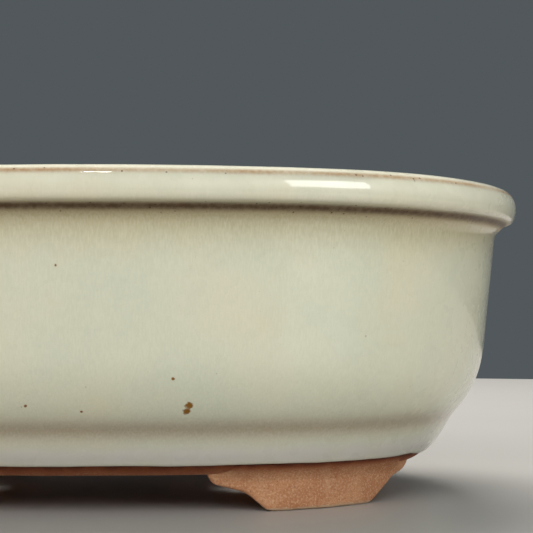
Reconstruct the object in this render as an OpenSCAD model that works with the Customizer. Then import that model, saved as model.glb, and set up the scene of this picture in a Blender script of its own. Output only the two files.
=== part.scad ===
// Oval bonsai pot: a glazed stoneware container, luted together from a floor slab, a base band,
// a wall, a heavy rolled rim and four bracket feet. Two mesh screens, each held by a bent wire
// clip, cover the drainage holes.
// The origin is the middle of the ground under the pot, with X along its length and Z up.
// Every wall section is drawn in [x, z], where x is measured outward from the rim's outermost
// line, so the whole pot lies at x <= 0, and is then swept round the oval.

/* [Overall size] */
// Length over the rim
pot_length = 240; // [225:1:260]
// Height from the ground to the top of the rim
pot_height = 85.9; // [75:0.1:110]
// Radius of the two round ends, at the rim's outermost line
end_radius = 89; // [80:0.5:95]
// Angle that each half of a long side bends through before the round end takes over
joint_angle = 11.8; // [9:0.1:20]

/* [Wall] */
// Thickness of the clay wall
wall_thickness = 6.6; // [5:0.1:8]
// How far the wall's top sits in from the rim's outermost line
wall_top_inset = 6.2; // [5:0.1:8]
// How far the wall leans in between its top and the start of its lower curve
wall_lean = 3.1; // [1:0.1:5]
// Height above the ground where the wall starts to curve in
curve_start_height = 42; // [38:0.5:50]
// How far the groove above the base band sits in from the rim's outermost line
groove_inset = 18.6; // [17:0.1:21]
// Height of that groove above the ground
groove_height = 22.1; // [20:0.1:25]

/* [Rim] */
// Height of the rim, from its top down to where its cove meets the wall
rim_drop = 13.9; // [12:0.1:16]
// Height of the rim's upright outer face
rim_face_height = 6.5; // [5:0.1:8]
// Height of the domed top of the rim above its outer corner
rim_dome_height = 2.1; // [1:0.1:3]

/* [Base] */
// How far the underside's edge sits in from the rim's outermost line
base_inset = 29.5; // [27:0.1:32]
// Thickness of the floor slab
floor_thickness = 7; // [5:0.1:9]
// How far the floor slab's edge sits in from the rim's outermost line
floor_inset = 35; // [34:0.5:38]

/* [Feet] */
// Height of the feet, which is also the height of the underside
foot_height = 9.7; // [8:0.1:12]
// Direction of each foot from the centre of its round end, measured from the Y axis
foot_angle = 31.8; // [28:0.1:45]
// Length of a foot where it stands on the ground
foot_length = 30.4; // [24:0.1:34]
// How far a foot's wing reaches out under the long side
side_wing = 16.6; // [14:0.1:20]
// How far a foot's wing reaches out under the round end
end_wing = 22; // [18:0.5:24]
// Thickness of a foot, across the pot's edge
foot_thickness = 15; // [10:0.5:18]
// Angle that a foot's end under the round end narrows by, towards the middle of the pot
end_taper = 12; // [0:1:20]
// Angle that a foot's end under the long side narrows by, which sets it nearly square to that side
side_taper = 28.5; // [10:0.5:32]

/* [Drainage] */
// Diameter of the two drainage holes
drain_d = 20; // [18:0.5:24]
// Distance of each drainage hole from the middle
drain_offset = 42; // [34:1:48]
// Diameter of the four holes that the tie wires pass through
tie_hole_d = 5; // [3:0.5:6]
// Half the spacing of the tie wire holes along X
tie_hole_x = 52; // [50:1:56]
// Half the spacing of the tie wire holes along Y
tie_hole_y = 27; // [24:1:30]

/* [Screens and clips] */
// Number of openings along each side of a drainage screen
screen_openings = 9; // [7:2:11]
// Distance between the middles of two screen openings
screen_pitch = 3.2; // [3:0.1:3.6]
// Width of a screen's bars
screen_bar = 1; // [0.8:0.1:1.2]
// Thickness of a screen
screen_thickness = 1.2; // [0.8:0.1:2]
// Diameter of the clip wire
wire_d = 1.2; // [1:0.1:1.4]
// How far each end of a clip reaches out from its leg, under the floor
clip_tail = 12; // [9:1:16]

/* [Hidden] */
$fn = 180;

// Colours
glaze = [0.83, 0.81, 0.71];
clay = [0.66, 0.45, 0.33];
screen_black = [0.13, 0.15, 0.14];
wire_brown = [0.45, 0.27, 0.15];

// The oval: two round ends joined by two flatter side arcs, all tangent where they meet. The ends
// are centred on the X axis at end_x, and the sides on the Y axis at side_y across the pot.
end_x = pot_length / 2 - end_radius;
side_y = end_x / tan(joint_angle);
side_radius = end_radius + end_x / sin(joint_angle);
half_width = side_radius - side_y;

// Heights of the joints between the clay pieces
rim_joint_z = pot_height - rim_drop;
floor_z = foot_height + floor_thickness;

// Curve steps in a section, enough to look round once swept
curve_steps = 8;

// How far the wall's inner face sits in from the rim's outermost line, level with the groove and
// at the rim
groove_inner_inset = groove_inset + 1.1 * wall_thickness;
rim_inner_inset = wall_top_inset + wall_thickness;

// A smooth curve from a to b, as a list of points. It leaves a along the vector leave and reaches b
// along the vector arrive, and longer vectors hold it to those directions for longer.
function curve(a, leave, b, arrive, steps = curve_steps) = [
  for (i = [0:steps])
    let (t = i / steps, s = 1 - t)
      s ^ 3 * a + 3 * s ^ 2 * t * (a + leave) + 3 * s * t ^ 2 * (b - arrive) + t ^ 3 * b
];

// Moves along a direction in a whole, a fine and a last step, so that no digit is rounded away
// and neighbouring arcs meet exactly
module shift(direction, distance) {
  whole = round(distance);
  fine = round((distance - whole) * 1000) / 1000;
  last = distance - whole - fine;
  translate(direction * whole)
    translate(direction * fine)
      translate(direction * last)
        children();
}

// Turns a section through one round end of the oval, on the +X side
module end_sweep() {
  translate([end_x, 0])
    rotate_extrude(angle = 180 - 2 * joint_angle, start = joint_angle - 90)
      children();
}

// Turns a section through one long side of the oval, on the -Y side
module side_sweep() {
  shift([0, 1], side_y)
    rotate_extrude(angle = 2 * joint_angle, start = -90 - joint_angle)
      children();
}

// Sweeps a section round the whole oval. The section's x = 0 is the rim's outermost line.
module oval_sweep() {
  for (turn = [0, 180])
    rotate(turn) {
      end_sweep()
        translate([end_radius, 0])
          children();
      side_sweep()
        shift([1, 0], side_radius)
          children();
    }
}

// A solid oval plate, whose edge sits in from the rim's outermost line by inset. Each half is a
// round end and a side that is cut off at the pot's middle line.
module oval_plate(inset, low, high) {
  height = high - low;
  past_middle = 1.1 * half_width;
  for (turn = [0, 180])
    rotate(turn) {
      end_sweep()
        translate([0, low])
          square([end_radius - inset, height]);
      intersection() {
        side_sweep()
          shift([1, 0], side_radius)
            translate([-past_middle, low])
              square([past_middle - inset, height]);
        translate([-pot_length, -pot_length, low])
          cube([2 * pot_length, pot_length, height]);
      }
    }
}

// The rim: an upright rounded face under a low dome, with a cove below that runs into the wall
module rim_section() {
  corner_z = pot_height - rim_dome_height;
  lip_z = corner_z - rim_face_height;
  inner_top = [-rim_inner_inset + 0.3, pot_height - 4.5];
  crown_inner = [-5.2, pot_height];
  crown_outer = [-4.4, pot_height];
  corner = [-0.7, corner_z];
  outermost = [0, corner_z - 2.8];
  lip = [-0.3, lip_z + 1];
  underside = [-2.7, lip_z - 0.8];
  wall_top = [-wall_top_inset, rim_joint_z];
  polygon(concat(
    [[-rim_inner_inset, rim_joint_z]],
    curve(inner_top, [0.2, 2.9], crown_inner, [4, 0]),
    curve(crown_outer, [1.8, 0], corner, [0.6, -1]),
    curve(corner + [0.2, -0.4], [0.3, -0.6], outermost, [0, -0.9], 4),
    curve(outermost + [0, -0.6], [0, -0.8], lip, [-0.2, -0.8], 4),
    curve(lip + [-0.15, -0.5], [-0.45, -1.1], underside, [-1, -0.3]),
    curve(underside + [-0.5, -0.4], [-1.5, -1.4], wall_top, [-0.3, -2])
  ));
}

module rim_lip() {
  color(glaze)
    oval_sweep()
      rim_section();
}

// The wall: leaning in a little, then curving in to the groove above the base band
module wall_section() {
  down_the_wall = 9 * [-wall_lean / (rim_joint_z - curve_start_height), -1];
  into_the_groove = [-4.5, -4];
  curve_start = [-wall_top_inset - wall_lean, curve_start_height];
  inner_curve_start = curve_start - [wall_thickness, 0];
  polygon(concat(
    [[-wall_top_inset, rim_joint_z]],
    curve(curve_start, down_the_wall, [-groove_inset, groove_height], into_the_groove),
    curve(
      [-groove_inner_inset, groove_height], -into_the_groove,
      inner_curve_start, -down_the_wall
    ),
    [[-rim_inner_inset, rim_joint_z]]
  ));
}

module wall() {
  color(glaze)
    oval_sweep()
      wall_section();
}

// The base band: a soft belt outside, and inside the curve from the wall down to the floor
module base_band_section() {
  polygon(concat(
    curve([-groove_inset, groove_height], [-4.1, -8], [-base_inset, foot_height], [-4.6, -2]),
    [[-floor_inset, foot_height]],
    curve([-floor_inset, floor_z], [3, 0], [-groove_inner_inset, groove_height], [3, 2.8])
  ));
}

module base_band() {
  color(glaze)
    oval_sweep()
      base_band_section();
}

module floor_slab() {
  color(clay)
    difference() {
      oval_plate(floor_inset, foot_height, floor_z);
      for (x = [-drain_offset, drain_offset])
        translate([x, 0, foot_height - 1])
          cylinder(d = drain_d, h = floor_thickness + 2);
      for (x = [-tie_hole_x, tie_hole_x], y = [-tie_hole_y, tie_hole_y])
        translate([x, y, foot_height - 1])
          cylinder(d = tie_hole_d, h = floor_thickness + 2);
    }
}

// The foot's section across the pot's edge: sides that draw in a little towards the ground, and
// worn edges along the sole
module foot_section() {
  outer = -base_inset + 0.1;
  inner = outer - foot_thickness;
  draw = 0.7;
  worn = 0.9;
  polygon(concat(
    [[outer, foot_height]],
    curve([outer - draw, worn], [-0.05, -0.6], [outer - draw - worn, 0], [-0.6, 0], 4),
    curve([inner + 2 * draw + worn, 0], [-0.6, 0], [inner + 2 * draw, worn], [-0.05, 0.6], 4),
    [[inner, foot_height]]
  ));
}

// One side of a foot's bracket outline, from the ground up: it rises steeply to a knee, runs out
// as a thin wing, and turns up into the underside
function foot_side(wing, knee) =
  let (
    ground = [foot_length / 2, 0],
    bend = ground + knee,
    lip = [ground.x + 0.85 * wing, (knee.y + foot_height) / 2],
    tip = [ground.x + wing, foot_height]
  )
    concat(
      curve(ground, [1.7, 0.1], bend, 0.5 * knee, 6),
      curve(bend + [0.3, 0.25], [1.1, 0.85], lip, [4, 1], 6),
      curve(lip + [0.5, 0.2], [0.9, 0.4], tip, [0.7, 1.2], 4)
    );

// The whole outline, with the wing under the round end on its +X side
module foot_outline() {
  end_side = foot_side(end_wing, [10, 0.57 * foot_height]);
  long_side = foot_side(side_wing, [6, 0.45 * foot_height]);
  polygon(concat(
    end_side,
    [for (i = [len(long_side) - 1:-1:0]) [-long_side[i].x, long_side[i].y]]
  ));
}

// One foot, under the front right of the pot: a ring that follows the oval, cut to the outline
// along two directions, so that its ends close in towards the middle of the pot
module foot() {
  reach = end_radius - base_inset;
  color(clay)
    intersection() {
      oval_sweep()
        foot_section();
      intersection_for (lean = [-side_taper, end_taper])
        translate([end_x, 0])
          rotate(foot_angle)
            translate([0, -reach])
              rotate(lean)
                translate([0, reach / 2])
                  rotate([90, 0, 0])
                    linear_extrude(reach)
                      foot_outline();
    }
}

module foot_front_right() {
  foot();
}

module foot_front_left() {
  mirror([1, 0, 0])
    foot();
}

module foot_rear_right() {
  mirror([0, 1, 0])
    foot();
}

module foot_rear_left() {
  mirror([1, 0, 0])
    mirror([0, 1, 0])
      foot();
}

// A square plastic mesh that lies on the floor over a drainage hole
module drain_screen(x) {
  opening = screen_pitch - screen_bar;
  side = screen_openings * screen_pitch + screen_bar;
  last = (screen_openings - 1) / 2;
  color(screen_black)
    translate([x, 0, floor_z])
      linear_extrude(screen_thickness)
        difference() {
          square(side, center = true);
          for (i = [-last:last], j = [-last:last])
            translate([i * screen_pitch, j * screen_pitch])
              square(opening, center = true);
        }
}

// A quarter bend of the clip wire, from pointing along -X to pointing down
module wire_bend(radius) {
  rotate([90, 0, 0])
    rotate_extrude(angle = 90)
      translate([radius, 0])
        circle(d = wire_d);
}

// Half of a clip: half its top bar, a leg down through screen and hole, and a tail under the floor
module half_clip() {
  leg_x = 2 * screen_pitch;
  bend = (screen_pitch - screen_bar) / 2;
  bar_z = floor_z + screen_thickness + wire_d / 2;
  tail_z = foot_height - wire_d / 2;
  translate([0, 0, bar_z])
    rotate([0, 90, 0])
      cylinder(d = wire_d, h = leg_x - bend);
  translate([leg_x - bend, 0, bar_z - bend])
    wire_bend(bend);
  translate([leg_x, 0, tail_z + bend])
    cylinder(d = wire_d, h = bar_z - tail_z - 2 * bend);
  translate([leg_x + bend, 0, tail_z + bend])
    rotate([0, 180, 0])
      wire_bend(bend);
  translate([leg_x + bend, 0, tail_z])
    rotate([0, 90, 0])
      cylinder(d = wire_d, h = clip_tail - bend);
}

module screen_clip(x) {
  color(wire_brown)
    translate([x, 0, 0]) {
      half_clip();
      mirror([1, 0, 0])
        half_clip();
    }
}

rim_lip();
wall();
base_band();
floor_slab();
foot_front_left();
foot_front_right();
foot_rear_left();
foot_rear_right();
drain_screen(-drain_offset);  // drain_screen_left
drain_screen(drain_offset);  // drain_screen_right
screen_clip(-drain_offset);  // screen_clip_left
screen_clip(drain_offset);  // screen_clip_right
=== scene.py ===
"""The looks of an oval glazed bonsai pot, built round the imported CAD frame.

The pot's glazed and bare clay pieces are cut from one skin, a section swept round the oval, so
that the glaze runs over their joints unbroken. Lengths in the code are in millimetres, and are
turned into metres as each mesh is made.
"""

import math
import random

import bmesh
import bpy
import numpy as np
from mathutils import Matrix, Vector, noise


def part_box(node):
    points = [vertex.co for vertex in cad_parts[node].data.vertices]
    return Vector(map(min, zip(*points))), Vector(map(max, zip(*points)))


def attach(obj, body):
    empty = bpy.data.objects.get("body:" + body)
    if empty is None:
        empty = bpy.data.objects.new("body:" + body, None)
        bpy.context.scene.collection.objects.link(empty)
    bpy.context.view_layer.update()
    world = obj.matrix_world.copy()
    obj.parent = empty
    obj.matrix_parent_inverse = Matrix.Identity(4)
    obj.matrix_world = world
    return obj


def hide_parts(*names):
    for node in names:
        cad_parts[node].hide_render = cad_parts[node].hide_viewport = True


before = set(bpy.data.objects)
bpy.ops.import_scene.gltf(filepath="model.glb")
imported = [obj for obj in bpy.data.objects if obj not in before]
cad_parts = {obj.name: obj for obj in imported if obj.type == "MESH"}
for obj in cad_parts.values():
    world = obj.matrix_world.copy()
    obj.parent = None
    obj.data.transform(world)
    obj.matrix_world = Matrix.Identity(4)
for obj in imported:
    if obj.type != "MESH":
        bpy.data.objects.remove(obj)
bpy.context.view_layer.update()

MM = 0.001
BODY = "root"


# ---------------------------------------------------------------- sizes, from the CAD frame

def node_box(name):
    """A CAD node's lowest and highest corners, in millimetres."""
    low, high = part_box(name)
    return np.array(low) / MM, np.array(high) / MM


rim_low, rim_high = node_box("rim_lip")
wall_low, _ = node_box("wall")
band_low, _ = node_box("base_band")
_, floor_high = node_box("floor_slab")

POT_TOP = rim_high[2]
HALF_LENGTH = rim_high[0]
HALF_WIDTH = rim_high[1]
RIM_JOINT_Z = rim_low[2]
GROOVE_Z = wall_low[2]
UNDERSIDE_Z = band_low[2]
FLOOR_Z = floor_high[2]
FLOOR_INSET = HALF_LENGTH - floor_high[0]
BAND_UNDERSIDE_WIDTH = 5.5
BASE_INSET = FLOOR_INSET - BAND_UNDERSIDE_WIDTH

# The plan: round ends on the X axis, and flatter sides, tangent to them, centred on the Y axis
END_RADIUS = 89.0
END_X = HALF_LENGTH - END_RADIUS
SPARE_WIDTH = HALF_WIDTH - END_RADIUS
SIDE_Y = (END_X ** 2 - SPARE_WIDTH ** 2) / (2 * SPARE_WIDTH)
SIDE_RADIUS = SIDE_Y + HALF_WIDTH
JOINT_ANGLE = math.atan2(END_X, SIDE_Y)

# Insets from the rim's outermost line
WALL_TOP_INSET = 6.2
WALL_THICKNESS = 6.6
WALL_LEAN = 3.1
CURVE_START_Z = 42.0
GROOVE_INSET = 18.6
RIM_INNER_INSET = WALL_TOP_INSET + WALL_THICKNESS
GROOVE_INNER_INSET = GROOVE_INSET + 1.1 * WALL_THICKNESS

# The rim's corners, as heights
CORNER_Z = POT_TOP - 2.1
LIP_Z = CORNER_Z - 5.5

# The glaze: its height above the bare clay and how round its edge is, the heights that it ends at
# outside and inside, and how far below the outer edge the clay is darkened
GLAZE_STEP = 0.45
GLAZE_EDGE_RADIUS = 0.4
LOWER_GLAZE_Z = 12.3
INNER_GLAZE_Z = 76.0
EDGE_DARKENING_REACH = 1.2

# Spacing of the mesh columns round the oval, and of the points that a section is worked out at
COLUMN_STEP = 1.4
SECTION_SPACING = 0.1


# ---------------------------------------------------------------- the pot's skin

def curve(start, leave, end, arrive, steps=30):
    """A smooth curve that leaves start along one vector and reaches end along another."""
    start, leave, end, arrive = (np.array(v, float) for v in (start, leave, end, arrive))
    t = np.linspace(0, 1, steps + 1)[:, None]
    s = 1 - t
    return (
        s ** 3 * start
        + 3 * s ** 2 * t * (start + leave)
        + 3 * s * t ** 2 * (end - arrive)
        + t ** 3 * end
    )


def pot_stretches():
    """The pot's section in [x, z], with x outward from the rim's outermost line.

    It runs from the floor's edge up the inside, over the rim and down to the underside. Each
    stretch is its name, its points and the spacing of the mesh rows along it.
    """
    down_the_wall = 9 * np.array([-WALL_LEAN / (RIM_JOINT_Z - CURVE_START_Z), -1])
    into_the_groove = np.array([-4.5, -4.0])
    groove = (-GROOVE_INSET, GROOVE_Z)
    inner_groove = (-GROOVE_INNER_INSET, GROOVE_Z)
    curve_start = np.array([-WALL_TOP_INSET - WALL_LEAN, CURVE_START_Z])
    inner_curve_start = curve_start - [WALL_THICKNESS, 0]
    inner_top = (-RIM_INNER_INSET + 0.3, POT_TOP - 4.5)
    crown = (-5.2, POT_TOP)
    crown_outer = (-4.4, POT_TOP)
    corner = np.array([-0.7, CORNER_Z])
    outermost = np.array([0, CORNER_Z - 2.8])
    lip = np.array([-0.3, LIP_Z])
    underside = np.array([-2.7, LIP_Z - 1.8])
    wall_top = (-WALL_TOP_INSET, RIM_JOINT_Z)
    base = curve(groove, (-4.1, -8), (-BASE_INSET, UNDERSIDE_Z), (-4.6, -2), 60)
    bare = base[:, 1] < LOWER_GLAZE_Z
    return [
        ("floor_curve", curve((-FLOOR_INSET, FLOOR_Z), (3, 0), inner_groove, (3, 2.8)), 1.0),
        ("inner_foot", curve(inner_groove, -into_the_groove, inner_curve_start, -down_the_wall), 1.5),
        ("inner_wall", [(-RIM_INNER_INSET, RIM_JOINT_Z)], 2.5),
        ("inner_clay", [(-RIM_INNER_INSET + 0.13, INNER_GLAZE_Z)], 0.8),
        ("inner_rim", [inner_top], 0.8),
        ("crown", curve(inner_top, (0.2, 2.9), crown, (4, 0)), 0.6),
        ("dome", curve(crown_outer, (1.8, 0), corner, (0.6, -1)), 0.35),
        ("rim_face", np.vstack([
            curve(corner + [0.2, -0.4], (0.3, -0.6), outermost, (0, -0.9)),
            curve(outermost + [0, -0.6], (0, -0.8), lip, (-0.2, -0.8)),
        ]), 0.4),
        ("lip", curve(lip + [-0.15, -0.5], (-0.45, -1.1), underside, (-1, -0.3)), 0.3),
        ("cove", curve(underside + [-0.5, -0.4], (-1.5, -1.4), wall_top, (-0.3, -2)), 0.4),
        ("wall", [curve_start], 1.2),
        ("haunch", curve(curve_start, down_the_wall, groove, into_the_groove), 0.9),
        ("belt", base[~bare], 0.6),
        ("clay_strip", base[bare], 0.4),
        ("underside", [(-FLOOR_INSET, UNDERSIDE_Z)], 0.9),
    ]


def smoothed(table, sigma):
    """The table's points averaged over a bell of that width, with both ends kept in place."""
    reach = int(4 * sigma / SECTION_SPACING)
    weights = np.exp(-0.5 * (np.arange(-reach, reach + 1) * SECTION_SPACING / sigma) ** 2)
    weights /= weights.sum()
    before = 2 * table[0] - table[reach:0:-1]
    after = 2 * table[-1] - table[-2:-reach - 2:-1]
    padded = np.vstack([before, table, after])
    return np.column_stack([np.convolve(padded[:, k], weights, "valid") for k in (0, 1)])


def section_table():
    """The section by distance along it: distances, points, normals, and where stretches end."""
    points = [np.array([-FLOOR_INSET, FLOOR_Z])]
    ends = {}
    length = 0.0
    for name, stretch, _ in pot_stretches():
        for point in np.array(stretch, float):
            step = np.linalg.norm(point - points[-1])
            if step > 1e-6:
                points.append(point)
                length += step
        ends[name] = length
    points = np.array(points)
    steps = np.linalg.norm(np.diff(points, axis=0), axis=1)
    at = np.concatenate([[0], np.cumsum(steps)])
    places = np.linspace(0, at[-1], int(at[-1] / SECTION_SPACING) + 1)
    even = np.column_stack([np.interp(places, at, points[:, k]) for k in (0, 1)])
    near_groove = np.exp(-((places - ends["haunch"]) / 5) ** 2)[:, None]
    soft = smoothed(even, 0.3) * (1 - near_groove) + smoothed(even, 1.5) * near_groove
    along = np.gradient(soft, axis=0)
    along /= np.linalg.norm(along, axis=1)[:, None]
    normals = np.column_stack([-along[:, 1], along[:, 0]])
    return places, soft, normals, ends


def row_places(ends):
    """Where the mesh rows lie along the section, with extra rows at the two glaze edges."""
    lines = {ends["inner_clay"]: 1, ends["belt"]: -1}
    rows = [0.0]
    start = 0.0
    for name, _, step in pot_stretches():
        count = max(1, round((ends[name] - start) / step))
        rows += list(np.linspace(start, ends[name], count + 1)[1:])
        start = ends[name]
    kept = [r for r in rows if min(abs(r - line) for line in lines) > 1.5]
    for line, into_glaze in lines.items():
        kept += [line + into_glaze * d for d in (0, 0.02, 0.06, 0.12, 0.2, 0.3, 0.42, 0.6, 0.9, 1.3)]
        kept += [line - into_glaze * d for d in (0.1, 0.3, 0.6, 1.0, 1.4)]
    return np.array(sorted(kept))


def oval_places(step):
    """Places round the oval at that spacing: arc centres, radii and outward directions."""
    half_end = math.pi / 2 - JOINT_ANGLE
    arcs = [
        ((END_X, 0), END_RADIUS, 0.0, half_end),
        ((0, -SIDE_Y), SIDE_RADIUS, math.pi / 2, JOINT_ANGLE),
        ((-END_X, 0), END_RADIUS, math.pi, half_end),
        ((0, SIDE_Y), SIDE_RADIUS, 1.5 * math.pi, JOINT_ANGLE),
    ]
    centres, radii, directions = [], [], []
    for centre, radius, middle, half in arcs:
        count = round(2 * half * radius / step)
        for angle in np.linspace(middle - half, middle + half, count, endpoint=False):
            centres.append(centre)
            radii.append(radius)
            directions.append((math.cos(angle), math.sin(angle)))
    return np.array(centres), np.array(radii), np.array(directions)


def wander(points, size, seed):
    """Smooth noise from about -1 to 1 at each point, with features of that size."""
    shift = Vector((seed, 2.3 * seed, 5.7 * seed))
    flat = points.reshape(-1, 3) / size
    values = [noise.noise(Vector(p) + shift) for p in flat]
    return np.array(values).reshape(points.shape[:-1])


def bell(distance, width):
    """1 at no distance, and falling away to nothing over about twice the width."""
    return np.exp(-(distance / width) ** 2)


def make_skin():
    """The pot's skin as a grid of rows along the section and columns round the oval."""
    places, points, normals, ends = section_table()
    rows = row_places(ends)
    centres, radii, directions = oval_places(COLUMN_STEP)
    inner_line = ends["inner_clay"]
    lower_line = ends["belt"]

    # How far each column's glaze edges wander from their level lines. The lower one runs down
    # further under the middle of each round end.
    round_rim = np.column_stack([centres + directions * radii[:, None], 0 * radii])
    inner_wander = 1.1 * wander(round_rim, 34, 11) + 0.5 * wander(round_rim, 11, 12)
    lower_wander = 0.6 * wander(round_rim, 30, 21) + 0.25 * wander(round_rim, 9, 22)
    lower_wander += 1.7 * np.clip((abs(directions[:, 0]) - 0.86) / 0.09, 0, 1)
    at = (
        rows[:, None]
        + bell(rows - inner_line, 4)[:, None] * inner_wander
        + bell(rows - lower_line, 2.5)[:, None] * lower_wander
    )

    # The glaze's rounded edge stands proud of the clay, which is lowest right beside it
    into_glaze = np.where(rows < (inner_line + lower_line) / 2, rows - inner_line, lower_line - rows)
    rounding = np.sqrt(1 - (1 - np.clip(into_glaze / GLAZE_EDGE_RADIUS, 0, 1)) ** 2)
    clay_end = np.where(rows < inner_line, inner_line - 25, ends["clay_strip"])
    clay_fade = np.clip((rows - clay_end) / np.where(rows < inner_line, 25, lower_line - clay_end), 0, 1)
    step_in = np.where(into_glaze >= 0, GLAZE_STEP * (rounding - 1), -GLAZE_STEP * clay_fade)
    swell = 0.1 * bell(into_glaze - 1.0, 0.7)

    def by_distance(values):
        return np.interp(at, places, values)

    x = by_distance(points[:, 0])
    z = by_distance(points[:, 1])
    normal_x = by_distance(normals[:, 0])
    normal_z = by_distance(normals[:, 1])

    def spread(x, z):
        """The grid's points in space, from section distances."""
        flat = centres + directions * (radii + x)[..., None]
        return np.concatenate([flat, z[..., None]], axis=-1)

    # A hand-finished pot isn't quite even, but its floor meets the slab and its rim stays in size
    level = spread(x, z)
    uneven = 0.13 * (wander(level, 42, 31) - 1) + 0.04 * (wander(level, 13, 32) - 1)
    held = np.clip(rows / 6, 0, 1) * np.clip((rows[-1] - rows) / 3, 0, 1)
    offset = (step_in + swell)[:, None] + uneven * held[:, None]
    grid = spread(x + normal_x * offset, z + normal_z * offset)

    down = np.gradient(grid, axis=0)
    around = np.roll(grid, -1, axis=1) - np.roll(grid, 1, axis=1)
    facing = np.cross(down, around)
    facing /= np.linalg.norm(facing, axis=2)[..., None]

    # Where the glaze and clay change colour, each as bells about the section's lines: the distance from a
    # line and then the width. Some of them paint light and shade into the colour: shade under the rim and in
    # the groove, and light on the rim's top.
    face_top = ends["dome"]
    masks = {
        "thin": np.maximum.reduce([
            0.58 * bell(rows - face_top + 0.55, 1.05),
            0.85 * bell(np.clip(into_glaze, 0, None), 0.35) * (into_glaze >= 0),
            0.3 * bell(rows - ends["inner_rim"] - 1.5, 1.6),
        ]),
        "lip": bell(rows - ends["lip"] - 1.05, 2.0),
        "shade": 0.52 * bell(rows - ends["lip"] - 0.5, 3.9),
        "milky_and_top_lit": np.maximum.reduce([
            bell(np.clip(face_top - 3.0 - rows, 0, None), 2.5) * (rows < face_top),
            bell(rows - face_top - 2.2, 2.8),
            0.6 * bell(rows - ends["rim_face"] + 0.8, 1.0),
        ]),
        "belt": bell(rows - lower_line + 3.4, 3.4),
        "groove": bell(rows - ends["haunch"], 3.2),
        "olive_and_shade": np.where(rows > ends["lip"], bell(rows - ends["lip"] - 2.5, 7.5), 0),
        "beside_glaze_edge": np.where(into_glaze < 0, np.exp(0.25 * into_glaze / EDGE_DARKENING_REACH), 0),
    }
    return {
        "grid": grid,
        "facing": facing,
        "masks": masks,
        "glazed": (rows > inner_line - 0.001) & (rows < lower_line - 0.001),
        "row": {name: int(np.argmin(abs(rows - end))) for name, end in ends.items()},
        "last": len(rows) - 1,
    }


def link_object(name, mesh):
    """A new object in the scene, made of that mesh, lamp or camera."""
    piece = bpy.data.objects.new(name, mesh)
    bpy.context.scene.collection.objects.link(piece)
    return piece


def finish_piece(piece, node, materials):
    """Gives a piece its materials, hangs it on the pot's body and hides the CAD node that it stands in for.
    """
    for material in materials:
        piece.data.materials.append(material)
    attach(piece, BODY)
    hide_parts(node)


def ring_piece(node, skin, strips, materials):
    """A closed piece of the pot, from strips of the skin's rows and the hidden faces between."""
    columns = skin["grid"].shape[1]
    rows = np.concatenate([np.arange(first, last + 1) for first, last in strips])
    hidden = {last for _, last in strips}
    points = skin["grid"][rows].reshape(-1, 3) * MM
    facing = skin["facing"][rows].reshape(-1, 3)
    here = np.arange(columns)
    after = (here + 1) % columns
    faces, normals, clay = [], [], []
    for i, row in enumerate(rows):
        j = (i + 1) % len(rows)
        quads = np.column_stack([
            i * columns + here, j * columns + here, j * columns + after, i * columns + after,
        ])
        faces.append(quads)
        if row in hidden:
            edge = points[quads]
            flat = np.cross(edge[:, 2] - edge[:, 0], edge[:, 3] - edge[:, 1])
            flat /= np.linalg.norm(flat, axis=1)[:, None]
            normals.append(np.repeat(flat, 4, axis=0))
        else:
            normals.append(facing[quads].reshape(-1, 3))
        clay += [row in hidden or not skin["glazed"][row]] * columns
    mesh = bpy.data.meshes.new(node)
    mesh.from_pydata(points.tolist(), [], np.vstack(faces).tolist())
    mesh.shade_smooth()
    mesh.normals_split_custom_set(np.vstack(normals).tolist())
    mesh.polygons.foreach_set("material_index", np.array(clay, int))
    for name, values in skin["masks"].items():
        mask = mesh.attributes.new(name, "FLOAT", "POINT")
        mask.data.foreach_set("value", np.repeat(values[rows], columns).astype(np.float32))
    piece = link_object(node + "_glazed", mesh)
    finish_piece(piece, node, materials)


def make_pot_rings(skin, glaze, clay):
    """The rim, the wall and the base band, which meet at rows of the skin."""
    row = skin["row"]
    ring_piece("rim_lip", skin, [(row["inner_wall"], row["cove"])], [glaze, clay])
    ring_piece(
        "wall", skin,
        [(row["floor_curve"], row["inner_wall"]), (row["cove"], row["haunch"])],
        [glaze, clay],
    )
    ring_piece(
        "base_band", skin,
        [(0, row["floor_curve"]), (row["haunch"], skin["last"])],
        [glaze, clay],
    )


# ---------------------------------------------------------------- floor slab

DRAIN_X = 42.0
DRAIN_RADIUS = 10.0
TIE_HOLE_X = 52.0
TIE_HOLE_Y = 27.0
TIE_HOLE_RADIUS = 2.5


def hand_cut_circle(x, y, radius, count, seed):
    """A hole's outline as a knife leaves it: close to round, never inside the true circle."""
    rng = random.Random(seed)
    phase = rng.uniform(0, math.tau)
    outline = []
    for i in range(count):
        angle = math.tau * i / count
        out = radius * (1 + 0.012 * (1 + math.sin(2 * angle + phase)) + 0.006 * math.sin(5 * angle))
        outline.append((x + out * math.cos(angle), y + out * math.sin(angle)))
    return outline


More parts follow.
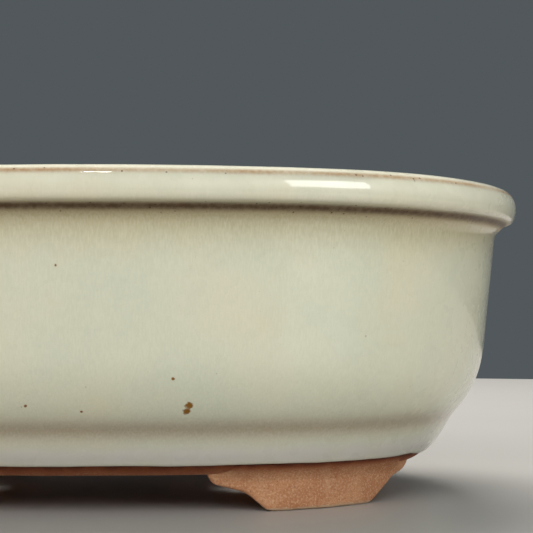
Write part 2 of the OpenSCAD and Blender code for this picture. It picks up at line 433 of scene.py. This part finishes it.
def make_floor(clay):
    """The floor slab: cut to the oval, with worn edges round the drainage and tie wire holes."""
    centres, radii, directions = oval_places(COLUMN_STEP)
    outlines = [centres + directions * (radii - FLOOR_INSET)[:, None]]
    for side in (-1, 1):
        outlines.append(hand_cut_circle(side * DRAIN_X, 0, DRAIN_RADIUS, 72, 40 + side))
        for end in (-1, 1):
            outlines.append(
                hand_cut_circle(side * TIE_HOLE_X, end * TIE_HOLE_Y, TIE_HOLE_RADIUS, 32, 50 + side + 3 * end)
            )
    bm = bmesh.new()
    for outline in outlines:
        ring = [bm.verts.new((x * MM, y * MM, UNDERSIDE_Z * MM)) for x, y in outline]
        for a, b in zip(ring, ring[1:] + ring[:1]):
            bm.edges.new((a, b))
    bmesh.ops.triangle_fill(bm, edges=bm.edges[:], use_beauty=True, normal=(0, 0, 1))
    raised = bmesh.ops.extrude_face_region(bm, geom=bm.faces[:])
    lifted = [v for v in raised["geom"] if isinstance(v, bmesh.types.BMVert)]
    bmesh.ops.translate(bm, verts=lifted, vec=(0, 0, (FLOOR_Z - UNDERSIDE_Z) * MM))
    bmesh.ops.recalc_face_normals(bm, faces=bm.faces[:])
    rim_edges = [
        e for e in bm.edges
        if len(e.link_faces) == 2
        and abs(e.calc_face_angle(0) - math.pi / 2) < 0.2
        and is_in_a_hole(e)
        and abs(e.verts[0].co.z - e.verts[1].co.z) < 1e-7
    ]
    bmesh.ops.bevel(
        bm, geom=rim_edges, offset=0.9 * MM, segments=4, profile=0.5, affect="EDGES", clamp_overlap=True,
    )
    mesh = bpy.data.meshes.new("floor_slab")
    bm.to_mesh(mesh)
    bm.free()
    mesh.shade_smooth()
    mesh.set_sharp_from_angle(angle=math.radians(40))
    piece = link_object("floor_slab_clay", mesh)
    finish_piece(piece, "floor_slab", [clay])


def is_in_a_hole(edge):
    """True for an edge round a hole, and false for one round the slab's own outline."""
    x, y, _ = (edge.verts[0].co + edge.verts[1].co) / 2 / MM
    from_drain = math.hypot(abs(x) - DRAIN_X, y)
    from_tie = math.hypot(abs(x) - TIE_HOLE_X, abs(y) - TIE_HOLE_Y)
    return from_drain < 1.2 * DRAIN_RADIUS or from_tie < 1.5 * TIE_HOLE_RADIUS


# ---------------------------------------------------------------- feet

FOOT_VOXEL = 0.45
FOOT_LUTING = 2.9
FOOT_ANGLE = math.radians(31.8)
FOOT_HALF_LENGTH = 32.0


def plan_place(x, y):
    """Where a point lies in plan: how far in from the rim's outermost line, and its outward
    direction, both measured from the centre of the arc that it belongs to."""
    along = abs(x) - END_X
    if math.atan2(along, abs(y)) > JOINT_ANGLE:
        centre, radius = (math.copysign(END_X, x), 0), END_RADIUS
    else:
        centre, radius = (0, math.copysign(SIDE_Y, -y)), SIDE_RADIUS
    out = Vector((x - centre[0], y - centre[1]))
    return radius - out.length, out.normalized()


def make_foot(node, clay):
    """A foot: the CAD bracket with its edges rubbed soft, and its top pressed into the underside
    and smoothed on to it in a hollow fillet."""
    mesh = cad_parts[node].data.copy()
    mesh.materials.clear()
    piece = link_object(node + "_clay", mesh)
    for v in mesh.vertices:
        if v.co.z > (UNDERSIDE_Z - 0.02) * MM:
            v.co.z += FOOT_LUTING * MM
    remesh = piece.modifiers.new("remesh", "REMESH")
    remesh.mode = "VOXEL"
    remesh.voxel_size = FOOT_VOXEL * MM
    remesh.use_smooth_shade = True
    soften = piece.modifiers.new("soften", "SMOOTH")
    soften.factor = 0.5
    soften.iterations = 14
    depsgraph = bpy.context.evaluated_depsgraph_get()
    worked = bpy.data.meshes.new_from_object(piece.evaluated_get(depsgraph))
    piece.modifiers.clear()
    piece.data = worked

    fillet = curve((-BASE_INSET + 0.1, 7.4), (0, 1.9), (-BASE_INSET + 4.4, LOWER_GLAZE_Z + 0.15), (1.9, 1.25))
    facing = [v.normal.copy() for v in worked.vertices]
    for v, normal in zip(worked.vertices, facing):
        place = v.co / MM
        inset, out = plan_place(place.x, place.y)
        along = END_RADIUS * (math.atan2(abs(place.x) - END_X, abs(place.y)) - FOOT_ANGLE)
        reach = np.interp(place.z, fillet[:, 1], fillet[:, 0]) + BASE_INSET
        near_face = min(max((BASE_INSET + 6 - inset) / 5, 0), 1)
        on_foot = min(max((1.5 * FOOT_HALF_LENGTH - abs(along)) / 10, 0), 1)
        uneven = 0.14 * noise.noise(place / 9) + 0.05 * noise.noise(place / 2.2)
        moved = place + normal * uneven
        moved.xy += out * reach * near_face * on_foot
        moved.z = max(moved.z, 0)
        v.co = moved * MM
    worked.shade_smooth()
    heights = np.array([v.co.z for v in worked.vertices]) / MM
    beside_glaze_edge = worked.attributes.new("beside_glaze_edge", "FLOAT", "POINT")
    beside_glaze_edge.data.foreach_set("value", np.exp((heights - LOWER_GLAZE_Z) / EDGE_DARKENING_REACH).astype(np.float32))
    finish_piece(piece, node, [clay])


# ---------------------------------------------------------------- screens and clips

SCREEN_PITCH = 3.2
SCREEN_BARS = 10
SCREEN_BAR_RADIUS = 0.5
SCREEN_BAR_FLATTEN = 0.84
WIRE_RADIUS = 0.6
WIRE_BEND = 1.1


def tube(bm, path, radius, sides=14, flatten=1.0):
    """Sweeps a round section along a path of points in millimetres."""
    rings = []
    up = Vector((0, 0, 1)) if abs((path[1] - path[0]).normalized().z) < 0.9 else Vector((0, 1, 0))
    for i, point in enumerate(path):
        ahead = (path[min(i + 1, len(path) - 1)] - path[max(i - 1, 0)]).normalized()
        side = ahead.cross(up).normalized()
        up = side.cross(ahead).normalized()
        ring = []
        for k in range(sides):
            angle = math.tau * k / sides
            out = side * math.cos(angle) + up * math.sin(angle) * flatten
            ring.append(bm.verts.new((point + out * radius) * MM))
        rings.append(ring)
    for a, b in zip(rings, rings[1:]):
        for k in range(sides):
            n = (k + 1) % sides
            bm.faces.new((a[k], a[n], b[n], b[k]))
    bm.faces.new(rings[0][::-1])
    bm.faces.new(rings[-1])


def make_screen(node, plastic, seed):
    """A square of plastic mesh cut from a sheet: two layers of bars, fused where they cross."""
    low, high = node_box(node)
    middle = (low + high) / 2
    rng = random.Random(seed)
    bm = bmesh.new()
    half = (high[0] - low[0]) / 2
    half_bar = SCREEN_BAR_RADIUS * SCREEN_BAR_FLATTEN
    for layer, centre_z in ((0, high[2] - half_bar), (1, low[2] + half_bar)):
        for i in range(SCREEN_BARS):
            across = (i - (SCREEN_BARS - 1) / 2) * SCREEN_PITCH
            reach = [half - rng.uniform(0, 0.5), half - rng.uniform(0, 0.5)]
            path = []
            for k in range(-20, 21):
                t = k / 20 * (reach[0] if k < 0 else reach[1])
                swell = 0.03 * math.cos(math.tau * t / SCREEN_PITCH)
                offset = across + swell
                x, y = (t, offset) if layer == 0 else (offset, t)
                path.append(Vector((middle[0] + x, middle[1] + y, centre_z)))
            tube(bm, path, SCREEN_BAR_RADIUS, flatten=SCREEN_BAR_FLATTEN)
    mesh = bpy.data.meshes.new(node)
    bm.to_mesh(mesh)
    bm.free()
    mesh.shade_smooth()
    mesh.set_sharp_from_angle(angle=math.radians(50))
    piece = link_object(node + "_mesh", mesh)
    finish_piece(piece, node, [plastic])


def make_clip(node, metal):
    """A wire clip: a bar over the screen, two legs down through the hole and two bent tails."""
    low, high = node_box(node)
    middle = (low + high) / 2
    leg = 2 * SCREEN_PITCH
    top = high[2] - WIRE_RADIUS
    bottom = low[2] + WIRE_RADIUS
    reach = (high[0] - low[0]) / 2

    def quarter(x, z, start, end):
        """Points round a bend centred at x and z, between two angles in degrees."""
        return [
            (x + WIRE_BEND * math.cos(a), z + WIRE_BEND * math.sin(a))
            for a in np.linspace(math.radians(start), math.radians(end), 8)
        ]

    half = [(0.5 * leg, top)]
    half += quarter(leg - WIRE_BEND, top - WIRE_BEND, 90, 0)
    half += [(leg, (top + bottom) / 2)]
    half += quarter(leg + WIRE_BEND, bottom + WIRE_BEND, 180, 270)
    half += [((leg + WIRE_BEND + reach) / 2, bottom), (reach, bottom)]
    outline = [(-x, z) for x, z in reversed(half)] + [(0, top)] + half
    path = [
        Vector((middle[0] + x, middle[1] + 0.12 * math.sin(x / 4.1), z))
        for x, z in outline
    ]
    bm = bmesh.new()
    tube(bm, path, WIRE_RADIUS, sides=18)
    bmesh.ops.recalc_face_normals(bm, faces=bm.faces[:])
    mesh = bpy.data.meshes.new(node)
    bm.to_mesh(mesh)
    bm.free()
    mesh.shade_smooth()
    mesh.set_sharp_from_angle(angle=math.radians(50))
    piece = link_object(node + "_wire", mesh)
    finish_piece(piece, node, [metal])


# ---------------------------------------------------------------- materials

def srgb(red, green, blue):
    """A colour given as 0 to 255 screen values, as Blender's linear colour."""
    def linear(value):
        value /= 255
        return value / 12.92 if value <= 0.04045 else ((value + 0.055) / 1.055) ** 2.4
    return (linear(red), linear(green), linear(blue), 1.0)


class Shader:
    """A material's node tree round one Principled shader, with short ways to add to it."""

    def __init__(self, name):
        self.material = bpy.data.materials.new(name)
        self.material.use_nodes = True
        self.nodes = self.material.node_tree.nodes
        self.links = self.material.node_tree.links
        self.nodes.clear()
        output = self.nodes.new("ShaderNodeOutputMaterial")
        self.principled = self.nodes.new("ShaderNodeBsdfPrincipled")
        self.links.new(self.principled.outputs["BSDF"], output.inputs["Surface"])
        self.place = self.nodes.new("ShaderNodeTexCoord").outputs["Object"]

    def put(self, socket, value):
        """Sets an input to a number or colour, or links it to another node's output."""
        if isinstance(value, bpy.types.NodeSocket):
            self.links.new(value, socket)
        else:
            socket.default_value = value

    def set(self, **inputs):
        """Sets inputs of the Principled shader, named with _ for each space."""
        for name, value in inputs.items():
            self.put(self.principled.inputs[name.replace("_", " ")], value)

    def math(self, operation, a, b=0.0):
        """One sum, product or other operation on two values."""
        node = self.nodes.new("ShaderNodeMath")
        node.operation = operation
        self.put(node.inputs[0], a)
        self.put(node.inputs[1], b)
        return node.outputs[0]

    def stretched(self, across, tall):
        """Object coordinates scaled so that a pattern is longer along Z, or round the pot."""
        node = self.nodes.new("ShaderNodeMapping")
        node.inputs["Scale"].default_value = (1 / across, 1 / across, 1 / tall)
        self.put(node.inputs["Vector"], self.place)
        return node.outputs[0]

    def noise(self, size, detail=3.0, roughness=0.55, place=None, lean=0.0):
        """Noise from 0 to 1 whose features are about that size, in millimetres."""
        node = self.nodes.new("ShaderNodeTexNoise")
        self.put(node.inputs["Vector"], place or self.place)
        node.inputs["Scale"].default_value = 1 / (size * MM)
        node.inputs["Detail"].default_value = detail
        node.inputs["Roughness"].default_value = roughness
        node.inputs["Distortion"].default_value = lean
        return node.outputs[0]

    def between(self, value, low, high, to_low=0.0, to_high=1.0):
        """A smooth step of value from low to high, or the other way where high is under low."""
        node = self.nodes.new("ShaderNodeMapRange")
        node.interpolation_type = "SMOOTHSTEP"
        if high < low:
            low, high, to_low, to_high = high, low, to_high, to_low
        self.put(node.inputs["Value"], value)
        node.inputs["From Min"].default_value = low
        node.inputs["From Max"].default_value = high
        node.inputs["To Min"].default_value = to_low
        node.inputs["To Max"].default_value = to_high
        return node.outputs[0]

    def mix(self, amount, a, b):
        """Colour a, turning into colour b as the amount goes from 0 to 1."""
        node = self.nodes.new("ShaderNodeMix")
        node.data_type = "RGBA"
        self.put(node.inputs["Factor"], amount)
        colours = [s for s in node.inputs if s.type == "RGBA"]
        self.put(colours[0], a)
        self.put(colours[1], b)
        return [s for s in node.outputs if s.type == "RGBA"][0]

    def mask(self, name):
        """One of the values that the mesh carries at its points."""
        node = self.nodes.new("ShaderNodeAttribute")
        node.attribute_name = name
        return node.outputs["Fac"]

    def height(self):
        """Height above the ground, in metres."""
        node = self.nodes.new("ShaderNodeSeparateXYZ")
        self.put(node.inputs[0], self.place)
        return node.outputs["Z"]

    def specks(self, spacing, radius, share, seed=0.0):
        """Scattered dots: one in each of a share of the cells of a random foam."""
        shift = self.nodes.new("ShaderNodeVectorMath")
        shift.operation = "ADD"
        shift.inputs[1].default_value = (seed, seed, seed)
        self.put(shift.inputs[0], self.place)
        node = self.nodes.new("ShaderNodeTexVoronoi")
        self.put(node.inputs["Vector"], shift.outputs[0])
        node.inputs["Scale"].default_value = 1 / (spacing * MM)
        split = self.nodes.new("ShaderNodeSeparateColor")
        self.put(split.inputs[0], node.outputs["Color"])
        near = self.between(node.outputs["Distance"], radius / spacing, 0.55 * radius / spacing)
        chosen = self.between(split.outputs[0], share, share - 0.001)
        return self.math("MULTIPLY", near, chosen)

    def spot(self, place, radius):
        """One dot at a place on the surface, with a ragged edge."""
        node = self.nodes.new("ShaderNodeVectorMath")
        node.operation = "DISTANCE"
        self.put(node.inputs[0], self.place)
        node.inputs[1].default_value = tuple(v * MM for v in place)
        ragged = self.math("MULTIPLY", self.noise(0.7), 1.2 * radius * MM)
        reach = self.math("ADD", node.outputs["Value"], ragged)
        return self.between(reach, 1.9 * radius * MM, 1.3 * radius * MM)

    def bump(self, height, depth, under=None):
        """Raises the surface by up to depth millimetres where height is 1."""
        node = self.nodes.new("ShaderNodeBump")
        node.inputs["Distance"].default_value = depth * MM
        self.put(node.inputs["Height"], height)
        if under is not None:
            self.put(node.inputs["Normal"], under)
        return node.outputs[0]


CREAM = srgb(225, 221, 195)
GREEN_GREY = srgb(214, 217, 195)
YELLOW_CREAM = srgb(226, 217, 184)
THICK_WHITE_AND_TOP_LIGHT = srgb(247, 242, 219)
LAVENDER = srgb(230, 223, 216)
OLIVE = srgb(178, 163, 120)
# The colour of the painted shade on the rim's lower face and under it
LIP_SHADE = srgb(164, 140, 108)
GROOVE_BROWN_AND_SHADE = srgb(176, 156, 132)
BREAK_TAN = srgb(182, 140, 96)
BREAK_BROWN_AND_SHADE = srgb(66, 34, 16)
IRON = srgb(70, 42, 24)
RUST = srgb(138, 90, 8)


def make_glaze(spots):
    """A thick cream stoneware glaze that breaks to brown where it runs thin over edges."""
    s = Shader("glaze")
    thin = s.mask("thin")
    milky_and_top_lit = s.mask("milky_and_top_lit")
    olive_and_shade = s.mask("olive_and_shade")
    belt = s.mask("belt")
    groove = s.mask("groove")

    # The body of the glaze: soft clouds, fine runs down the wall, and a close grain
    colour = s.mix(s.between(s.noise(38), 0.36, 0.66, 0, 0.7), CREAM, GREEN_GREY)
    colour = s.mix(s.between(s.noise(23, lean=0.4), 0.5, 0.75, 0, 0.5), colour, YELLOW_CREAM)
    runs = s.noise(1, detail=3, place=s.stretched(0.45, 2.2))
    colour = s.mix(s.between(runs, 0.35, 0.7, 0, 0.2), colour, THICK_WHITE_AND_TOP_LIGHT)
    grain = s.noise(0.38, detail=2)
    colour = s.mix(s.between(grain, 0.58, 0.8, 0, 0.22), colour, OLIVE)

    # Under the rim it thins to a warm olive, which also stands in as painted shade there, and where it pools
    # it turns milky
    warm_edge = s.math("MULTIPLY", olive_and_shade, s.between(runs, 0.2, 0.8, 1.1, 0.7))
    colour = s.mix(s.math("MULTIPLY", warm_edge, 0.8), colour, OLIVE)
    cloudy = s.between(s.noise(9), 0.3, 0.7, 0.55, 0.95)
    # Painted light: the rim's top and upper face are whitened where light falls from above, over the milky
    # tone of thick glaze
    colour = s.mix(s.math("MULTIPLY", milky_and_top_lit, cloudy), colour, THICK_WHITE_AND_TOP_LIGHT)
    colour = s.mix(s.math("MULTIPLY", belt, cloudy), colour, LAVENDER)
    # Painted shade: the groove is darkened, with a brown tint of the glaze gathered there
    colour = s.mix(s.math("MULTIPLY", groove, s.between(runs, 0.2, 0.8, 0.85, 0.65)), colour, GROOVE_BROWN_AND_SHADE)

    # Over edges the clay shows through in a softly broken line
    broken = s.between(s.noise(1.1, detail=4), 0.3, 0.7, 0.84, 1.08)
    worn_through = s.between(s.noise(34, detail=1), 0.4, 0.6, 1.0, 0.75)
    ragged = s.math("MULTIPLY", s.math("MULTIPLY", thin, worn_through), broken)
    colour = s.mix(s.between(ragged, 0.02, 0.75), colour, BREAK_TAN)
    colour = s.mix(s.between(ragged, 0.6, 1.1), colour, BREAK_BROWN_AND_SHADE)
    # Painted shade: the rim's lower face and the cove under it are darkened towards the lip
    colour = s.mix(s.mask("shade"), colour, LIP_SHADE)
    # The brown band at the rim's lower corner: glaze run thin over the edge, darkened further as painted
    # shade
    lip = s.math("MULTIPLY", s.mask("lip"), s.between(s.noise(1.6, detail=4), 0.3, 0.7, 0.9, 1.05))
    colour = s.mix(s.between(lip, 0.2, 1.25), colour, BREAK_BROWN_AND_SHADE)

    # Iron specks, most of them where the glaze is thin
    fine = s.specks(2.6, 0.2, 0.10)
    edges = s.math("MAXIMUM", s.between(thin, 0.1, 0.5), s.between(lip, 0.1, 0.5))
    edge_specks = s.math("MULTIPLY", s.specks(1.5, 0.32, 0.35, seed=0.3), edges)
    colour = s.mix(s.math("MULTIPLY", fine, 0.6), colour, RUST)
    colour = s.mix(s.math("MULTIPLY", edge_specks, 0.8), colour, IRON)
    for place, radius in spots:
        colour = s.mix(s.spot(place, radius), colour, RUST)

    # Faint orange peel under a hard gloss
    normal = s.bump(s.noise(7, detail=1), 0.025)
    normal = s.bump(s.noise(2.2, detail=1), 0.003, normal)
    roughness = s.between(s.noise(7), 0.3, 0.7, 0.24, 0.32)
    roughness = s.math("ADD", roughness, s.math("MULTIPLY", edges, 0.2))
    s.set(Base_Color=colour, Roughness=roughness, Normal=normal)
    s.set(Specular_IOR_Level=0.2, Coat_Weight=s.between(lip, 0.05, 0.6, 0.9, 0.05), Coat_Roughness=0.025)
    return s.material


CLAY = srgb(202, 147, 108)
CLAY_PALE = srgb(216, 174, 138)
CLAY_DARK = srgb(176, 116, 78)
CLAY_GRIT = srgb(222, 192, 160)
CLAY_IRON = srgb(112, 70, 46)
GLAZE_EDGE_ORANGE_BROWN = srgb(146, 80, 48)
GLAZE_EDGE_DARK_BROWN = srgb(88, 40, 20)
WORN = srgb(216, 192, 162)


def make_clay():
    """Bare sandy stoneware: toasted orange, gritty, dark beside the glaze and pale where rubbed."""
    s = Shader("bare_clay")
    colour = s.mix(s.between(s.noise(14), 0.35, 0.65, 0.1, 0.8), CLAY, CLAY_DARK)
    colour = s.mix(s.between(s.noise(5, detail=4), 0.5, 0.75, 0, 0.4), colour, CLAY_PALE)
    grain = s.noise(0.6, detail=3, roughness=0.7)
    colour = s.mix(s.between(grain, 0.5, 0.68, 0, 0.75), colour, CLAY_PALE)
    colour = s.mix(s.between(grain, 0.48, 0.32, 0, 0.75), colour, CLAY_DARK)
    grit = s.specks(0.7, 0.24, 0.5)
    colour = s.mix(s.math("MULTIPLY", grit, 0.35), colour, CLAY_GRIT)
    iron = s.specks(1.1, 0.24, 0.3, seed=0.4)
    colour = s.mix(s.math("MULTIPLY", iron, 0.5), colour, CLAY_IRON)

    # The clay turns darker towards the glaze's edge
    beside_glaze_edge = s.math("MULTIPLY", s.mask("beside_glaze_edge"), s.between(s.noise(6), 0.25, 0.6, 0.75, 1.0))
    colour = s.mix(s.between(beside_glaze_edge, 0.04, 0.6), colour, GLAZE_EDGE_ORANGE_BROWN)
    colour = s.mix(s.between(beside_glaze_edge, 0.45, 0.98), colour, GLAZE_EDGE_DARK_BROWN)

    # The sole is rubbed pale where it stands
    sole = s.math("ADD", s.height(), s.math("MULTIPLY", s.noise(2.5, detail=4), 1.6 * MM))
    colour = s.mix(s.between(sole, 1.9 * MM, 1.1 * MM, 0, 0.7), colour, WORN)

    # Level marks of the rib and sponge, under the grit
    marks = s.noise(1, detail=3, place=s.stretched(26, 1.3))
    normal = s.bump(marks, 0.16)
    normal = s.bump(s.noise(3.5, detail=4), 0.12, normal)
    normal = s.bump(grain, 0.10, normal)
    normal = s.bump(grit, 0.06, normal)
    s.set(Base_Color=colour, Roughness=s.between(grain, 0.3, 0.7, 0.92, 0.74), Normal=normal)
    s.set(Specular_IOR_Level=0.3)
    return s.material


def make_plastic():
    """Dark polyethylene mesh, slightly dusty."""
    s = Shader("screen_plastic")
    dust = s.between(s.noise(2.2, detail=4), 0.5, 0.75, 0, 0.45)
    colour = s.mix(s.between(s.noise(6), 0.35, 0.65), srgb(34, 38, 36), srgb(46, 50, 46))
    colour = s.mix(dust, colour, srgb(112, 100, 86))
    normal = s.bump(s.noise(0.5, detail=3), 0.03)
    s.set(Base_Color=colour, Roughness=s.between(dust, 0, 0.45, 0.42, 0.8), Normal=normal)
    return s.material


def make_wire():
    """Brown anodised aluminium wire, soft and slightly scratched."""
    s = Shader("clip_wire")
    scratches = s.noise(0.25, detail=4, place=s.stretched(6, 1))
    colour = s.mix(s.between(s.noise(2.5), 0.35, 0.7), srgb(136, 92, 62), srgb(112, 74, 50))
    colour = s.mix(s.between(scratches, 0.62, 0.75, 0, 0.6), colour, srgb(190, 170, 150))
    normal = s.bump(scratches, 0.02)
    s.set(Base_Color=colour, Roughness=s.between(s.noise(1.4), 0.3, 0.7, 0.32, 0.5), Normal=normal)
    s.set(Metallic=1.0)
    return s.material


# ---------------------------------------------------------------- stage, lights and camera

FLOOR_DISC_RADIUS = 0.8


def make_stage():
    """A plain pale floor, whose far edge falls away into the backdrop."""
    bm = bmesh.new()
    bmesh.ops.create_circle(bm, cap_ends=True, radius=FLOOR_DISC_RADIUS, segments=128)
    mesh = bpy.data.meshes.new("floor")
    bm.to_mesh(mesh)
    bm.free()
    floor = link_object("floor", mesh)
    s = Shader("floor")
    s.set(Base_Color=s.mix(s.noise(60), srgb(184, 181, 177), srgb(180, 177, 173)), Roughness=0.4)
    s.set(Specular_IOR_Level=0.25)
    mesh.materials.append(s.material)


def aim(thing, target):
    """Turns a lamp to face the target."""
    ahead = Vector(target) - thing.location
    thing.rotation_euler = ahead.to_track_quat("-Z", "Y").to_euler()


def softbox(name, azimuth, elevation, distance, size, watts, colour=(1, 1, 1), fills=True, shines=False):
    """A rectangular lamp that fills the scene with light, shines in the glaze, or both. Azimuth 0
    is in front of the pot and 90 is at its right."""
    lamp = bpy.data.lights.new(name, "AREA")
    lamp.shape = "RECTANGLE"
    lamp.size, lamp.size_y = size
    lamp.energy = watts
    lamp.color = colour
    light = link_object(name, lamp)
    a = math.radians(azimuth)
    e = math.radians(elevation)
    target = Vector((0.02, 0, 0.05))
    light.location = target + distance * Vector(
        (math.sin(a) * math.cos(e), -math.cos(a) * math.cos(e), math.sin(e))
    )
    aim(light, target)
    light.visible_diffuse = fills
    light.visible_glossy = shines


def make_lights():
    """Soft light from above and behind, with fill from the front and from the right. The two
    highlights in the glaze have lamps of their own."""
    softbox("shine", 42, 17, 1.0, (0.5, 0.36), 4.2, (0.96, 1.0, 0.97), fills=False, shines=True)
    softbox("glint", -9, 58, 1.0, (0.07, 0.06), 0.5, (1.0, 0.97, 0.92), fills=False, shines=True)
    softbox("top", 10, 120, 1.2, (0.9, 0.7), 22.5, (1.0, 0.98, 0.94))
    softbox("front", -15, 32, 1.4, (1.2, 0.8), 10.0)
    softbox("side", 42, 17, 1.0, (0.5, 0.36), 2.4, (0.96, 1.0, 0.97))
    softbox("right", 75, 25, 1.3, (0.8, 0.8), 1.3, (0.92, 1.0, 0.95))
    world = bpy.data.worlds.new("studio")
    bpy.context.scene.world = world
    world.use_nodes = True
    background = world.node_tree.nodes["Background"]
    background.inputs["Color"].default_value = srgb(82, 88, 91)


def make_camera():
    """The photograph's view: level with the pot's middle and near, with the left end cut off."""
    lens = bpy.data.cameras.new("camera")
    lens.sensor_width = 36
    lens.lens = 94.56
    lens.clip_start = 0.01
    camera = link_object("camera", lens)
    camera.location = (0.0429, -0.417, 0.0489)
    camera.rotation_euler = (math.radians(92.21), 0, math.radians(-0.54))
    scene = bpy.context.scene
    scene.camera = camera
    scene.view_settings.view_transform = "Standard"


# ---------------------------------------------------------------- the scene

# Larger iron spots on the front wall, as distance along X, height and radius
IRON_SPOTS = [
    (27.4, 28.2, 0.95),
    (26.7, 26.8, 0.9),
    (23.7, 34.9, 0.42),
    (-12.0, 28.3, 0.38),
    (1.4, 26.9, 0.36),
    (71.0, 45.0, 0.34),
    (-4.0, 62.0, 0.3),
]


def on_the_front_wall(skin, x, z):
    """The point of the pot's outer front face at that x and height."""
    grid = skin["grid"][skin["row"]["cove"]:].reshape(-1, 3)
    front = grid[grid[:, 1] < 0]
    nearest = np.argmin((front[:, 0] - x) ** 2 + (front[:, 2] - z) ** 2)
    return x, front[nearest, 1], z


skin = make_skin()
glaze = make_glaze([(on_the_front_wall(skin, x, z), radius) for x, z, radius in IRON_SPOTS])
clay = make_clay()
plastic = make_plastic()
wire = make_wire()

make_pot_rings(skin, glaze, clay)
make_floor(clay)
for side in ("left", "right"):
    for end in ("front", "rear"):
        make_foot(f"foot_{end}_{side}", clay)
    make_screen(f"drain_screen_{side}", plastic, seed=len(side))
    make_clip(f"screen_clip_{side}", wire)

make_stage()
make_lights()
make_camera()
